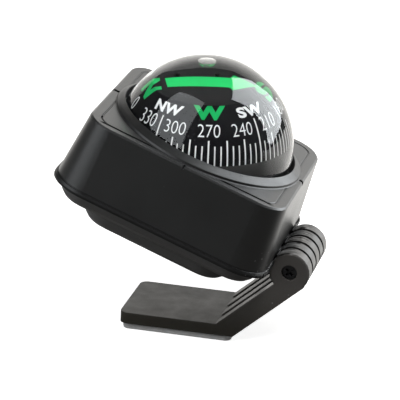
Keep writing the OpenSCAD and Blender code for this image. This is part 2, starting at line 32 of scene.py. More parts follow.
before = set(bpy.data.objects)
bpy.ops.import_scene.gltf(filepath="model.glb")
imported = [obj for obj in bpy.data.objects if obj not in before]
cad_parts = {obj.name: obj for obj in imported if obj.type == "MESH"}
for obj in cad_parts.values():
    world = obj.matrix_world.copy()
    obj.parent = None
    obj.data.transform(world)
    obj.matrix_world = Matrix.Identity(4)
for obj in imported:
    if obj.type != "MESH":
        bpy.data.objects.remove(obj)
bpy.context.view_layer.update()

# Places in the frame, in metres, as the part has them. The housing's axes run to the hinge, to the back and up out
# of its face, from the middle of that face. The hinge's leaves all lie within LEAF_R, and the middle of the seam
# round the bezel is SEAM_AWAY from the middle of the face.
WORLD_AXES = np.eye(3)
TILT = math.radians(20.5)
HINGE = np.array([26.2, 0, 19]) * MM
LEAF_R = 4.95 * MM
HOUSING_U = np.array([math.cos(TILT), 0, -math.sin(TILT)])
HOUSING_V = np.array([0.0, 1, 0])
HOUSING_N = np.array([math.sin(TILT), 0, math.cos(TILT)])
HOUSING_AXES = np.array([HOUSING_U, HOUSING_V, HOUSING_N])
HOUSING_O = HINGE - 31.3 * MM * HOUSING_U + 17.5 * MM * HOUSING_N
SEAM_AWAY = 22.3 * MM
BALL = HOUSING_O - 2.3 * MM * HOUSING_N
BALL_R = 21 * MM
BALL_IN_R = 20 * MM
PIVOT = BALL + 0.4 * MM * HOUSING_N
CARD = PIVOT - np.array([0, 0, 0.25 * MM])
CARD_R = 16 * MM
CARD_TOP = 11.8 * MM
BEARING_270 = math.radians(-75)
# The oil in the ball bends light by OIL_IOR, and what lies in it hardly shines.
OIL_IOR = 1.42
IN_OIL = 0.05


# ---- Shader arithmetic


class Val:
    """A shader value that takes part in arithmetic. Each operation adds one Math node."""

    def __init__(self, tree, socket):
        self.tree = tree
        self.socket = socket

    def math(self, operation, *others):
        node = self.tree.nodes.new("ShaderNodeMath")
        node.operation = operation
        for slot, item in enumerate((self,) + others):
            if isinstance(item, Val):
                self.tree.links.new(item.socket, node.inputs[slot])
            else:
                node.inputs[slot].default_value = item
        return Val(self.tree, node.outputs[0])

    def __add__(self, other):
        return self.math("ADD", other)

    __radd__ = __add__

    def __mul__(self, other):
        return self.math("MULTIPLY", other)

    __rmul__ = __mul__

    def __sub__(self, other):
        return self.math("SUBTRACT", other)

    def __rsub__(self, other):
        return self * -1 + other

    def __truediv__(self, other):
        return self.math("DIVIDE", other)

    def __abs__(self):
        return self.math("ABSOLUTE")

    def clamp(self):
        return self.math("MINIMUM", 1.0).math("MAXIMUM", 0.0)

    def ramp(self, low, high):
        """0 below low, 1 above high, straight between; falls instead when low is above high."""
        return ((self - low) / (high - low)).clamp()

    def below(self, edge, soft):
        """1 below edge, 0 above, over a width of soft."""
        return self.ramp(edge + soft / 2, edge - soft / 2)


class Shade:
    """A material made node by node."""

    def __init__(self, name):
        self.material = bpy.data.materials.new(name)
        self.material.use_nodes = True
        self.tree = self.material.node_tree
        self.tree.nodes.clear()
        self.out = self.tree.nodes.new("ShaderNodeOutputMaterial")

    def node(self, kind, settings=None, output=0, **inputs):
        """Adds a node, sets it up, fills its inputs with values or links, and gives one output. An input is told by
        its name, with _ for each space, or by _ and its number."""
        node = self.tree.nodes.new(kind)
        for key, value in (settings or {}).items():
            setattr(node, key, value)
        for key, value in inputs.items():
            socket = node.inputs[int(key[1:])] if key[0] == "_" else node.inputs[key.replace("_", " ")]
            if isinstance(value, Val):
                self.tree.links.new(value.socket, socket)
            elif value is not None:
                socket.default_value = value
        return Val(self.tree, node.outputs[output])

    def point(self):
        """Shaded point in its piece's own frame, which at rest is the frame of the part."""
        return self.node("ShaderNodeTexCoord", output="Object")

    def place(self, centre=(0, 0, 0), axes=WORLD_AXES):
        """x, y and z of the shaded point, measured from centre along axes."""
        moved = self.node("ShaderNodeVectorMath", {"operation": "SUBTRACT"}, _0=self.point(), _1=tuple(centre))
        return [
            self.node("ShaderNodeVectorMath", {"operation": "DOT_PRODUCT"}, "Value", _0=moved, _1=tuple(axis))
            for axis in axes
        ]

    def vector(self, x, y, z):
        return self.node("ShaderNodeCombineXYZ", X=x, Y=y, Z=z)

    def noise(self, scale, detail, rough=0.5, at=None):
        """Soft noise about 0.5, with scale bumps to the metre, or to each unit of at."""
        at = at or self.point()
        return self.node("ShaderNodeTexNoise", output="Fac", Vector=at, Scale=scale, Detail=detail, Roughness=rough)

    def cells(self, scale):
        """Distance to the nearest of many scattered spots, scale of them to the metre: 0 at a spot."""
        return self.node("ShaderNodeTexVoronoi", output="Distance", Vector=self.point(), Scale=scale)

    def mix(self, factor, a, b):
        """Colour between a and b."""
        return self.node("ShaderNodeMix", {"data_type": "RGBA"}, 2, _0=factor, _6=rgba(a), _7=rgba(b))

    def bump(self, height, depth, strength, normal=None):
        return self.node("ShaderNodeBump", Height=height, Distance=depth, Strength=strength, Normal=normal)

    def bevel(self, radius):
        return self.node("ShaderNodeBevel", {"samples": 6}, Radius=radius)

    def principled(self, **inputs):
        return self.node("ShaderNodeBsdfPrincipled", **inputs)

    def finish(self, shader):
        self.tree.links.new(shader.socket, self.out.inputs["Surface"])
        return self.material


def rgba(value):
    """A colour for a socket, from a grey level, three numbers or a shader value."""
    if isinstance(value, Val):
        return value
    if isinstance(value, (int, float)):
        return (value, value, value, 1)
    return tuple(value) + (1,) * (4 - len(value))


# ---- Materials

# Grey levels of what lies on black plastic. The last is a dark film: dirt on the ring, and painted shade at the hinge
# and along the bezel's seam.
DUST = 0.28
FLECK = 0.3
SCUFF = 0.24
WORN = 0.002
DIRT_AND_SHADE = 0.005


def hinge_wear(s):
    """Painted shade, pale scuffs and pale flecks about the hinge, each as a factor. The gaps between the leaves, 2.3
    and 6.9 mm from the middle, are painted dark as shade between the parts. Streaks run round the leaves' upper side:
    the dark ones are painted shadow of the housing, the pale ones scuffs. Flecks lie beside the leaves."""
    x, y, z = s.place(HINGE)
    reach = (x * x + z * z).math("SQRT")
    round_by = z.math("ARCTAN2", x)
    on_leaf = reach.below(LEAF_R, 0.1 * MM)
    gap = abs(abs(abs(y) - 4.6 * MM) - 2.3 * MM).below(0.62 * MM, 0.2 * MM) * on_leaf
    streak = s.noise(1, 2, 0.6, s.vector(y * 1500, round_by * 1.6, reach * 300))
    upper_side = reach.ramp(4.3 * MM, 4.6 * MM) * round_by.ramp(0.9, 1.5)
    rubbed_and_shaded = on_leaf * upper_side * s.noise(400, 2).ramp(0.36, 0.54)
    # Dark film factor: painted shade in the leaves' gaps and, in streaks, painted shadow of the housing on their upper
    # side.
    dirt_and_shade = gap + streak.ramp(0.5, 0.44) * rubbed_and_shaded * 0.9
    scuffs = streak.ramp(0.57, 0.62) * rubbed_and_shaded
    beside = reach.ramp(4.9 * MM, 5 * MM) * reach.below(9 * MM, 1.5 * MM)
    flecks = s.cells(700).ramp(0.17, 0.1) * s.noise(330, 1).ramp(0.46, 0.52) * beside
    return dirt_and_shade, scuffs, flecks


def seam_dirt(s):
    """Painted shade in the bezel's front seam and its two side notches and, thinner, on the housing's lower lip: a
    factor.
    """
    u, v, n = s.place(HOUSING_O, HOUSING_AXES)
    stray = (s.noise(240, 2) - 0.5) * (0.3 * MM)
    front = abs(v + SEAM_AWAY + stray).below(0.48 * MM, 0.2 * MM) * abs(u).below(21.6 * MM, 1.2 * MM)
    notch = abs(v - 0.35 * MM).below(0.42 * MM, 0.14 * MM) * abs(u).ramp(22.6 * MM, 22.9 * MM)
    lip = n.below(-15.75 * MM, 0.3 * MM)
    return (front + notch) * n.ramp(-1.1 * MM, -0.8 * MM) + lip * 0.5


def black_plastic(
    name,
    tone=0.009,
    rough=0.36,
    edge=0.15 * MM,
    warm=1.0,
    shine=0.5,
    dull_below=None,
    marks=False,
    hinge=0.0,
    seams=False,
):
    """Moulded black plastic: a fine spark-eroded grain, faint flow marks and a few dust specks. Below a height it can
    turn dull in blotches and browner. It can have small worn marks with dirt, a scuffed hinge with painted shade in
    its gaps and painted shadow on its leaves' upper side, and painted shade along the bezel's seam. Dirt and painted
    shade are one dark film that takes the shine away."""
    s = Shade(name)
    flow = s.noise(90, 3)
    grain = s.noise(9000, 2, 0.6)
    dust = s.cells(700).ramp(0.06, 0.03) * s.noise(260, 1).ramp(0.6, 0.68)
    hue = np.array([1.0, 0.5 + 0.5 * warm, warm])
    base = s.mix(flow, tone * 0.82 * hue, tone * 1.2 * hue)
    colour = s.mix(dust * 0.5, base, DUST)
    roughness = rough + (flow - 0.5) * 0.1 + (grain - 0.5) * 0.16
    dirt_and_shade = None
    if dull_below:
        height = s.place()[2]
        blotch = s.noise(260, 4, 0.6)
        roughness = roughness + height.below(dull_below, 0.8 * MM) * (0.12 + (blotch - 0.5) * 0.3)
        brown = tone * np.array([0.26, 0.23, 0.17])
        colour = s.mix(height.below(9 * MM, 12 * MM), colour, brown)
    if marks:
        worn = s.noise(620, 4, 0.7).ramp(0.62, 0.68) * s.noise(2600, 2).ramp(0.5, 0.62)
        colour = s.mix(worn, colour, WORN)
        roughness = roughness + worn * 0.35
        dirt_and_shade = worn * 0.3 + s.noise(330, 3, 0.6) * 0.34
    # The hinge and the seams add painted shade to the dark film.
    if hinge:
        dirt_and_shade, scuffs, flecks = hinge_wear(s)
        colour = s.mix(flecks * 0.7, s.mix(scuffs * hinge, colour, SCUFF), FLECK)
        roughness = roughness + scuffs * 0.2
    if seams:
        dirt_and_shade = seam_dirt(s) + (dirt_and_shade or 0.0)
    normal = s.bump(grain, 0.012 * MM, 0.8, s.bevel(edge))
    body = s.principled(Base_Color=colour, Roughness=roughness, Normal=normal, IOR=1.5, Specular_IOR_Level=shine)
    # One dark film: dirt on the ring, painted shade at the hinge and along the seams.
    if dirt_and_shade is not None:
        film = s.node("ShaderNodeBsdfDiffuse", Color=rgba(DIRT_AND_SHADE))
        body = s.node("ShaderNodeMixShader", _0=dirt_and_shade.clamp() * 0.95, _1=body, _2=film)
    return s.finish(body)


def metal(name, tone, rough, turned=False):
    """Bare metal with fine rolling or turning lines and small dull patches."""
    s = Shade(name)
    x, y, z = s.place()
    lines = s.noise(1, 2, 0.6, s.vector(x * 900, y * 26000, z * 900)) if turned else s.noise(14000, 3, 0.6)
    patch = s.noise(1200, 3)
    colour = s.mix(patch, [c * 0.82 for c in tone], tone)
    roughness = rough + (patch - 0.5) * 0.2
    normal = s.bump(lines, 0.01 * MM, 0.6, s.bevel(0.1 * MM))
    return s.finish(s.principled(Base_Color=colour, Metallic=1.0, Roughness=roughness, Normal=normal))


def foam(name):
    """Closed cell foam, cut at the sides, with an uneven tone."""
    s = Shade(name)
    cell = s.cells(3600)
    tone = s.noise(400, 3)
    colour = s.mix(tone, (0.36, 0.365, 0.37), (0.55, 0.555, 0.56))
    normal = s.bump(cell, 0.08 * MM, 0.8)
    return s.finish(s.principled(Base_Color=colour, Roughness=0.9, Normal=normal))


def smooth_plastic(name, low, high, rough, shine=0.5):
    """Plain moulded or cast surface with soft clouding and a faint orange peel. In oil its shine is low."""
    s = Shade(name)
    cloud = s.noise(240, 3)
    peel = s.noise(2600, 2)
    normal = s.bump(peel, 0.01 * MM, 0.5, s.bevel(0.15 * MM))
    colour = s.mix(cloud, low, high)
    roughness = rough + (peel - 0.5) * 0.1
    return s.finish(s.principled(Base_Color=colour, Roughness=roughness, Normal=normal, Specular_IOR_Level=shine))


def print_axes():
    """Axes of the print on the card: towards the 270 mark, to the right of it seen from outside, and up."""
    out = np.array([math.cos(BEARING_270), math.sin(BEARING_270), 0.0])
    return out, np.array([-out[1], out[0], 0.0]), np.array([0.0, 0, 1])


def dial_print(name):
    """The card's black face with its scale: a mark every 5 degrees, a longer one every 15, and four long lines. A mark
    runs from the card's rim up to a height in degrees, and keeps its width."""
    s = Shade(name)
    out, side, up = s.place(CARD, print_axes())
    flat = (out * out + side * side).math("SQRT")
    degree = math.pi / 180
    turn = side.math("ARCTAN2", out) * (1 / degree)
    height = up.math("ARCTAN2", flat) * (1 / degree)

    def marks(step, high, half_width, shift=0.0):
        away = abs((turn + (shift + 720 + step / 2)).math("MODULO", step) - step / 2)
        line = (away * flat * degree).below(half_width, 0.04 * MM)
        return line * height.ramp(-0.1, 0.1) * height.ramp(high + 0.1, high - 0.1)

    scale = marks(5, 15.2, 0.145 * MM)
    scale = scale.math("MAXIMUM", marks(15, 19.5, 0.165 * MM))
    scale = scale.math("MAXIMUM", marks(90, 33.6, 0.175 * MM, 45.0))
    wear = s.noise(1500, 3)
    cloud = s.noise(160, 2)
    ground = s.mix(cloud, (0.003, 0.003, 0.004), (0.006, 0.006, 0.007))
    ink = s.mix(wear, (0.6, 0.61, 0.61), (0.72, 0.73, 0.73))
    colour = s.mix(scale, ground, ink)
    normal = s.bump(scale + wear * 0.15, 0.02 * MM, 0.4)
    return s.finish(s.principled(Base_Color=colour, Roughness=0.5, Normal=normal, Specular_IOR_Level=IN_OIL))


def ink(name, low, high, glow):
    """Printed ink with an uneven film. The green one has a faint emission, a painted glow that stands in for its
    fluorescence.
    """
    s = Shade(name)
    film = s.noise(1400, 3)
    colour = s.mix(film, low, high)
    return s.finish(
        s.principled(
            Base_Color=colour,
            Roughness=0.5 + (film - 0.5) * 0.2,
            Emission_Color=colour,
            Emission_Strength=glow,
            Normal=s.bump(film, 0.01 * MM, 0.4),
            Specular_IOR_Level=IN_OIL,
        )
    )


def shadowless(s, shader):
    """The shader, but with a clear straight way for shadow rays."""
    straight = s.node("ShaderNodeBsdfTransparent", Color=(0.97, 0.98, 0.975, 1))
    shadow = s.node("ShaderNodeLightPath", output="Is Shadow Ray")
    return s.node("ShaderNodeMixShader", _0=shadow, _1=shader, _2=straight)


def clear_dome(name):
    """Clear wall filled with oil: light bends once at the outer face. Shadow rays pass straight through."""
    s = Shade(name)
    body = s.principled(Base_Color=(0.985, 0.99, 0.985, 1), Roughness=0.0, IOR=OIL_IOR, Transmission_Weight=1.0)
    speck = s.cells(420).ramp(0.05, 0.03) * s.noise(170, 1).ramp(0.6, 0.66)
    dust = s.node("ShaderNodeBsdfDiffuse", Color=(0.35, 0.35, 0.36, 1))
    dusty = s.node("ShaderNodeMixShader", _0=speck * 0.6, _1=body, _2=dust)
    return s.finish(shadowless(s, dusty))


def clear_inside(name):
    """Inner face of the clear wall. Oil and wall bend light alike, so this face can't be seen."""
    s = Shade(name)
    return s.finish(s.node("ShaderNodeBsdfTransparent", Color=(1, 1, 1, 1)))


def air(name):
    """Air in oil: clear, mirror-like where it is seen at a slant, and a little veiled."""
    s = Shade(name)
    body = s.principled(Base_Color=(1, 1, 1, 1), Roughness=0.0, IOR=1 / OIL_IOR, Transmission_Weight=1.0)
    film = s.node("ShaderNodeBsdfDiffuse", Color=(0.2, 0.2, 0.19, 1))
    veiled = s.node("ShaderNodeMixShader", _0=0.16, _1=body, _2=film)
    return s.finish(shadowless(s, veiled))


# ---- Surfaces


def mesh_piece(name, points, faces, body, material, smooth=True):
    """One mesh object at the origin that rides on a body."""
    mesh = bpy.data.meshes.new(name)
    mesh.from_pydata(np.asarray(points, float).tolist(), [], [list(map(int, f)) for f in faces])
    mesh.validate()
    obj = bpy.data.objects.new(name, mesh)
    bpy.context.scene.collection.objects.link(obj)
    mesh.polygons.foreach_set("use_smooth", np.full(len(mesh.polygons), smooth))
    mesh.materials.append(material)
    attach(obj, body)
    return obj


def outwards(obj):
    """Turns the faces of a closed mesh outwards."""
    work = bmesh.new()
    work.from_mesh(obj.data)
    bmesh.ops.recalc_face_normals(work, faces=work.faces)
    work.to_mesh(obj.data)
    work.free()
    return obj


def sharpen(obj, angle):
    """Keeps edges sharper than angle, in degrees, sharp in smooth shading."""
    mesh = obj.data
    work = bmesh.new()
    work.from_mesh(mesh)
    for edge in work.edges:
        edge.smooth = len(edge.link_faces) == 2 and edge.calc_face_angle(0) < math.radians(angle)
    work.to_mesh(mesh)
    work.free()


def turned(profile, centre, axes, count):
    """Points and faces of a profile of (radius, height) pairs turned round the third axis through centre. A point
    at radius 0 becomes a single point, and the profile is a closed line unless both its ends lie on the axis."""
    profile = np.asarray(profile, float)
    angle = np.arange(count) * TAU / count
    ring = np.stack([np.cos(angle), np.sin(angle)], 1) @ np.asarray(axes[:2])
    points, rows = [], []
    for radius, height in profile:
        if radius < 1e-9:
            rows.append(np.full(count, len(points)))
            points.append(centre + height * axes[2])
        else:
            rows.append(len(points) + np.arange(count))
            points.extend(centre + radius * ring + height * axes[2])
    open_line = profile[0][0] < 1e-9 and profile[-1][0] < 1e-9
    faces = []
    for k in range(len(rows) - 1 if open_line else len(rows)):
        a, b = rows[k], rows[(k + 1) % len(rows)]
        for i in range(count):
            j = (i + 1) % count
            loop = [a[i], a[j], b[j], b[i]]
            kept = [p for n, p in enumerate(loop) if p != loop[n - 1]]
            if len(kept) > 2:
                faces.append(kept)
    return np.array(points), faces


def arc(radius, low, high, count, middle=(0, 0)):
    """Points on a circle about middle from angle low to angle high, in degrees."""
    a = np.radians(np.linspace(low, high, count))
    return np.stack([middle[0] + radius * np.cos(a), middle[1] + radius * np.sin(a)], 1)


# ---- Materials of the nodes and of the new pieces

BLACK = black_plastic("black_plastic", hinge=0.8, seams=True)
BLACK_BRACKET = black_plastic(
    "black_plastic_bracket", 0.075, 0.38, 0.3 * MM, warm=0.88, shine=0.32, dull_below=14 * MM, hinge=0.9
)
BLACK_BEZEL = black_plastic("black_plastic_bezel", 0.01, 0.38, 0.2 * MM, seams=True)
BLACK_RING = black_plastic("black_plastic_ring", 0.01, 0.37, 0.1 * MM, shine=0.42, marks=True)
BLACK_BASE = black_plastic("black_plastic_base", 0.062, 0.5, 0.2 * MM, warm=0.96, shine=0.4)
GREY = smooth_plastic("grey_plastic", 0.026, 0.042, 0.4, 0.2)
SEAL = smooth_plastic("seal_rubber", 0.012, 0.02, 0.6)
FOAM = foam("foam_pad")
STEEL = metal("steel", (0.62, 0.62, 0.64), 0.3, True)
BLACK_STEEL = metal("black_steel", (0.05, 0.05, 0.052), 0.4)
BRASS = metal("brass", (0.72, 0.52, 0.22), 0.3, True)
MAGNET = metal("magnet_steel", (0.25, 0.25, 0.26), 0.45)
JEWEL = smooth_plastic("jewel", (0.5, 0.03, 0.08), (0.65, 0.06, 0.12), 0.15)
DIAL = dial_print("dial_print")
# Both greens have a faint painted glow.
GREEN = ink("green_ink", (0.003, 0.28, 0.07), (0.006, 0.35, 0.09), 0.04)
# The flat top's green is a lighter copy of the green ink: partly a lighter ink, partly painted light from above, which
# falls more on the top than on the sloped band.
GREEN_TOP_LIT = ink("green_ink_top_lit", (0.003, 0.39, 0.085), (0.005, 0.45, 0.105), 0.04)
WHITE = ink("white_ink", (0.66, 0.68, 0.69), (0.74, 0.76, 0.77), 0.0)
PIN = smooth_plastic("pin_black", 0.003, 0.005, 0.5, IN_OIL)
DOME = clear_dome("clear_plastic")
DOME_INSIDE = clear_inside("clear_inside")
AIR = air("air")

LOOKS = {
    "mounting_bracket": BLACK_BRACKET,
    "adhesive_pad": FOAM,
    "hinge_screw": BLACK_STEEL,
    "hinge_washer": STEEL,
    "hinge_nut": STEEL,
    "housing_shell": BLACK,
    "bezel_plate": BLACK_BEZEL,
    "base_cover": BLACK_BASE,
    "base_screws": STEEL,
    "capsule_bowl": GREY,
    "capsule_seal": SEAL,
    "fill_plug": SEAL,
    "pivot_needle": STEEL,
    "jewel_cup": JEWEL,
    "card_hub": BRASS,
    "card_float": GREY,
    "card_magnets": MAGNET,
    "pivot_keeper": BRASS,
}
for node_name, look in LOOKS.items():
    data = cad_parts[node_name].data
    data.materials.clear()
    data.materials.append(look)

# ---- Card


def card_shell():
    """Printed card: a spherical zone up to the flat top with a small round edge, and the same shape inside."""
    wall = 0.7 * MM
    inner = CARD_R - wall
    edge = 0.35 * MM
    top_angle = math.degrees(math.asin(CARD_TOP / CARD_R))
    inner_top_angle = math.degrees(math.asin((CARD_TOP - wall) / inner))
    edge_at = math.sqrt((CARD_R - edge) ** 2 - (CARD_TOP - edge) ** 2)
    profile = [(0, CARD_TOP)]
    profile += list(arc(edge, 90, top_angle - 1, 7, (edge_at, CARD_TOP - edge)))
    profile += list(arc(CARD_R, top_angle - 3, 0, 40))
    profile += list(arc(inner, 0, inner_top_angle, 30))
    profile += [(0, CARD_TOP - wall)]
    points, faces = turned(profile, CARD, WORLD_AXES, 192)
    obj = outwards(mesh_piece("printed_card", points, faces, "card", DIAL))
    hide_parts("compass_card")
    sharpen(obj, 40)


def glyphs(text, bold, fine=0.2):
    """Points and faces of a short text as a flat layer, with its box's middle at the origin, its height 1 and its
    depth from -1 to 1. bold moves its outline out, and no edge is much longer than fine."""
    curve = bpy.data.curves.new("glyphs", "FONT")
    curve.body = text
    curve.offset = bold
    curve.extrude = 0.05
    curve.resolution_u = 6
    curve.space_character = 1.06 if bold > 0 else 1.0
    holder = bpy.data.objects.new("glyphs", curve)
    bpy.context.scene.collection.objects.link(holder)
    bpy.context.view_layer.update()
    mesh = bpy.data.meshes.new_from_object(holder.evaluated_get(bpy.context.evaluated_depsgraph_get()))
    bpy.data.objects.remove(holder)
    work = bmesh.new()
    work.from_mesh(mesh)
    bmesh.ops.remove_doubles(work, verts=work.verts, dist=1e-5)
    bmesh.ops.triangulate(work, faces=work.faces)
    for _ in range(6):
        long = [e for e in work.edges if e.calc_length() > fine]
        if not long:
            break
        bmesh.ops.subdivide_edges(work, edges=long, cuts=1)
        bmesh.ops.triangulate(work, faces=[f for f in work.faces if len(f.verts) > 3])
    points = np.array([v.co for v in work.verts])
    work.verts.index_update()
    faces = [[v.index for v in f.verts] for f in work.faces]
    work.free()
    low, high = points.min(0), points.max(0)
    points -= (low + high) / 2
    points[:, 2] /= max(points[:, 2].max(), 1e-6)
    points[:, :2] /= high[1] - low[1]
    return points, faces


def ink_level(points):
    """How far an ink layer's points lie over the card: from 0.02 mm in it to 0.05 mm over it."""
    return 0.015 * MM + points[:, 2] * 0.035 * MM


def directions(height, turn):
    """Unit vectors from the card's centre, from arrays of height and turn in radians."""
    out, side, up = print_axes()
    flat, height, turn = np.cos(height)[:, None], height[:, None], turn[:, None]
    return flat * (np.cos(turn) * out + np.sin(turn) * side) + np.sin(height) * up


def wrap(points, turn, low, high, width):
    """Lays a flat outline on the card's zone between the heights low and high, in degrees, centred on turn: its height
    becomes an angle up the zone, and its width, in metres, a length round it."""
    wide = points[:, 0].max() - points[:, 0].min()
    height = math.radians(low + (high - low) * 0.5) + points[:, 1] * math.radians(high - low)
    round_by = turn + points[:, 0] * (width / wide) / (CARD_R * np.cos(height))
    return CARD + (CARD_R + ink_level(points))[:, None] * directions(height, round_by)


def over_edge(points, corners):
    """Lays a flat outline between four corners, given as (height, turn) in degrees for the lower left, lower right,
    upper left and upper right one: straight between them, then moved out to the card's zone or up to its flat top."""
    at = directions(*np.radians(np.array(corners, float)).T)
    u = (points[:, 0] / (points[:, 0].max() - points[:, 0].min()) + 0.5)[:, None]
    v = (points[:, 1] + 0.5)[:, None]
    way = (1 - v) * ((1 - u) * at[0] + u * at[1]) + v * ((1 - u) * at[2] + u * at[3])
    way /= np.linalg.norm(way, axis=1)[:, None]
    raised = ink_level(points)
    reach = np.minimum(CARD_R + raised, (CARD_TOP + raised) / np.maximum(way[:, 2], 0.1))
    return CARD + reach[:, None] * way


def lettering():
    """Numbers every 30 degrees, four large green letters and four white pairs, each a thin layer of ink. N and S lie
    over the edge of the flat top, and the numbers near them stand a little higher than the others."""
    thin, bold, half_bold = -0.012, 0.055, 0.04
    number_widths = {1: 1.5, 2: 3.15, 3: 4.8}
    number_bands = {0: (24.3, 34.5), 180: (24.3, 34.5), 330: (22.6, 33.2), 210: (22.6, 33.2)}
    letter_widths = {"E": 4.2, "W": 6.7}
    corners = {"N": [(37.4, -100.1), (36.5, -79.7), (51.9, -104.5), (50.8, -73.6)]}
    corners["S"] = [(corners["N"][k][0], -corners["N"][k][1]) for k in (1, 0, 3, 2)]
    numbers, white, green = [], [], []
    for bearing in range(0, 360, 30):
        text = str(bearing)
        flat, faces = glyphs(text, thin)
        low, high = number_bands.get(bearing, (22.1, 31.9))
        turn = math.radians(270 - bearing)
        numbers.append((wrap(flat, turn, low, high, number_widths[len(text)] * MM), faces))
    for bearing, text in ((0, "N"), (90, "E"), (180, "S"), (270, "W")):
        if text in corners:
            flat, faces = glyphs(text, bold, 0.045)
            laid = over_edge(flat, corners[text])
        else:
            flat, faces = glyphs(text, bold)
            laid = wrap(flat, math.radians(270 - bearing), 35.5, 47.1, letter_widths[text] * MM)
        green.append((laid, faces))
    for bearing, text in ((45, "NE"), (135, "SE"), (225, "SW"), (315, "NW")):
        flat, faces = glyphs(text, half_bold)
        turn = 270 - bearing + (1.2 if text == "NW" else 0)
        white.append((wrap(flat, math.radians(turn), 35.6, 44.2, 6.85 * MM), faces))
    for name, parts, look in (
        ("dial_numbers", numbers, WHITE),
        ("dial_white_letters", white, WHITE),
        ("dial_green_letters", green, GREEN),
    ):
        points = np.concatenate([p for p, _ in parts])
        starts = np.cumsum([0] + [len(p) for p, _ in parts[:-1]])
        faces = [[v + int(start) for v in f] for start, (_, fs) in zip(starts, parts) for f in fs]
        obj = outwards(mesh_piece(name, points, faces, "card", look, False))


def on_top(x, y, z):
    """Point over the middle of the card's flat top: x towards the S side, y away from the 270 mark, z up, in mm."""
    out, side, up = print_axes()
    return CARD + CARD_TOP * up + (x * side - y * out + z * up) * MM


def north_arrow():
    """Broad arrow across the flat top, from the N side to the S side: a bar and a triangle, one layer of ink."""
    shape = [(-7.9, -1.85), (4.05, -1.85), (4.7, -2.9), (9.3, 0), (4.7, 2.9), (4.05, 1.85), (-7.9, 1.85)]
    count = len(shape)
    points = [on_top(x, y, z) for z in (0.01, 0.05) for x, y in shape]
    faces = [list(range(count))[::-1], list(range(count, 2 * count))]
    faces += [[i, (i + 1) % count, count + (i + 1) % count, count + i] for i in range(count)]
    obj = outwards(mesh_piece("dial_arrow", points, faces, "card", GREEN_TOP_LIT, False))


def top_pins():
    """Two small moulded pins on the flat top, behind the arrow, each a short round peg with a rounded end."""
    radius, tall, rounding = 0.42 * MM, 0.5 * MM, 0.2 * MM
    crown = arc(rounding, 80, 0, 5, (radius - rounding, tall - rounding))
    profile = [(0, tall)] + list(crown) + [(radius, 0), (0, 0)]
    for name, x in (("top_pin_a", -5.35), ("top_pin_b", 1.75)):
        points, faces = turned(profile, on_top(x, 2.6, 0), WORLD_AXES, 20)
        obj = outwards(mesh_piece(name, points, faces, "card", PIN))


# ---- Ball


def dome_shell():
    """Clear half ball with its flange, turned about the housing's axis: two quarter circles and a short straight foot.
    The inner face has its own material."""
    flange_r, foot = 22.6 * MM, -1.5 * MM
    outer = [(0, BALL_R)] + list(arc(BALL_R, 89.4, 0, 150)) + [(flange_r, 0), (flange_r, foot)]
    inner = [(BALL_IN_R, foot)] + list(arc(BALL_IN_R, 0, 90, 36)[:-1]) + [(0, BALL_IN_R)]
    points, faces = turned(outer + inner, BALL, HOUSING_AXES, 420)
    obj = outwards(mesh_piece("clear_dome", points, faces, "housing", DOME))
    obj.data.materials.append(DOME_INSIDE)
    reach = np.linalg.norm(np.array([p.center for p in obj.data.polygons]) - BALL, axis=1)
    inside = reach < (BALL_R + BALL_IN_R) / 2
    obj.data.polygons.foreach_set("material_index", inside.astype(int))
    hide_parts("dome_lens")
    sharpen(obj, 40)


def bubble():
    """Air bubble just in front of the highest point under the dome, turned about its own axis: its top follows the
    dome's inner face, and its underside hangs below by the depth times the root of 1 less the 2.6th power of the way
    out, with a faint ripple that grows outwards."""
    half_width, depth, ripple, lean = 2.15 * MM, 2.3 * MM, 0.07 * MM, math.radians(3.4)
    top_r = BALL_IN_R - 0.03 * MM
    half = math.degrees(half_width / BALL_IN_R)
    top = arc(top_r, 90, 90 - half, 16)
    bottom = arc(top_r, 90 - half, 90, 40)[1:]
    out = np.linspace(1, 0, 40)[1:]
    bottom[:, 1] -= depth * (1 - out ** 2.6) ** 0.5 + ripple * np.sin(out * 26) * out
    axes = np.array([[1, 0, 0], [0, math.cos(lean), math.sin(lean)], [0, -math.sin(lean), math.cos(lean)]])
    points, faces = turned(np.concatenate([top, bottom]), BALL, axes, 96)
    obj = outwards(mesh_piece("air_bubble", points, faces, "housing", AIR))


# ---- Bezel ring and foam pad


def ring_crown():
    """Upper surface of the bezel's ring, turned about the housing's axis: up beside the dome to a narrow crest, down a
    broad cone, over a small step, and out in a low fillet onto the plate. At the left its outer part is drawn in: what
    the radius has beyond 22.6 mm shrinks to 45 %, and less by a cosine up to 60 degrees away."""
    crest = [(21.41, -0.3), (21.41, 1.62), (21.44, 1.7), (21.5, 1.75), (21.57, 1.735)]
    cone = [(r, 1.76 - 0.62 * (r - 21.5)) for r in np.linspace(21.66, 23.25, 9)]
    step = [(23.34, 0.61), (23.4, 0.52), (23.43, 0.38), (23.47, 0.22)]
    fillet = [(23.55, 0.11), (23.68, 0.045), (23.82, 0.015), (23.82, -0.05), (22.6, -0.3)]
    points, faces = turned(np.array(crest + cone + step + fillet) * MM, HOUSING_O, HOUSING_AXES, 240)
    u, v, n = ((points - HOUSING_O) @ HOUSING_AXES.T).T
    radius, kept = np.hypot(u, v), 22.6 * MM
    from_left = np.abs(np.degrees(np.arctan2(v, -u)))
    share = 1 - 0.55 * np.cos(np.radians(np.minimum(from_left, 60) * 1.5))
    size = np.where(radius > kept + 1e-9, (kept + (radius - kept) * share) / radius, 1)
    points = HOUSING_O + np.stack([u * size, v * size, n], 1) @ HOUSING_AXES
    obj = outwards(mesh_piece("bezel_ring_crown", points, faces, "housing", BLACK_RING))
    sharpen(obj, 32)


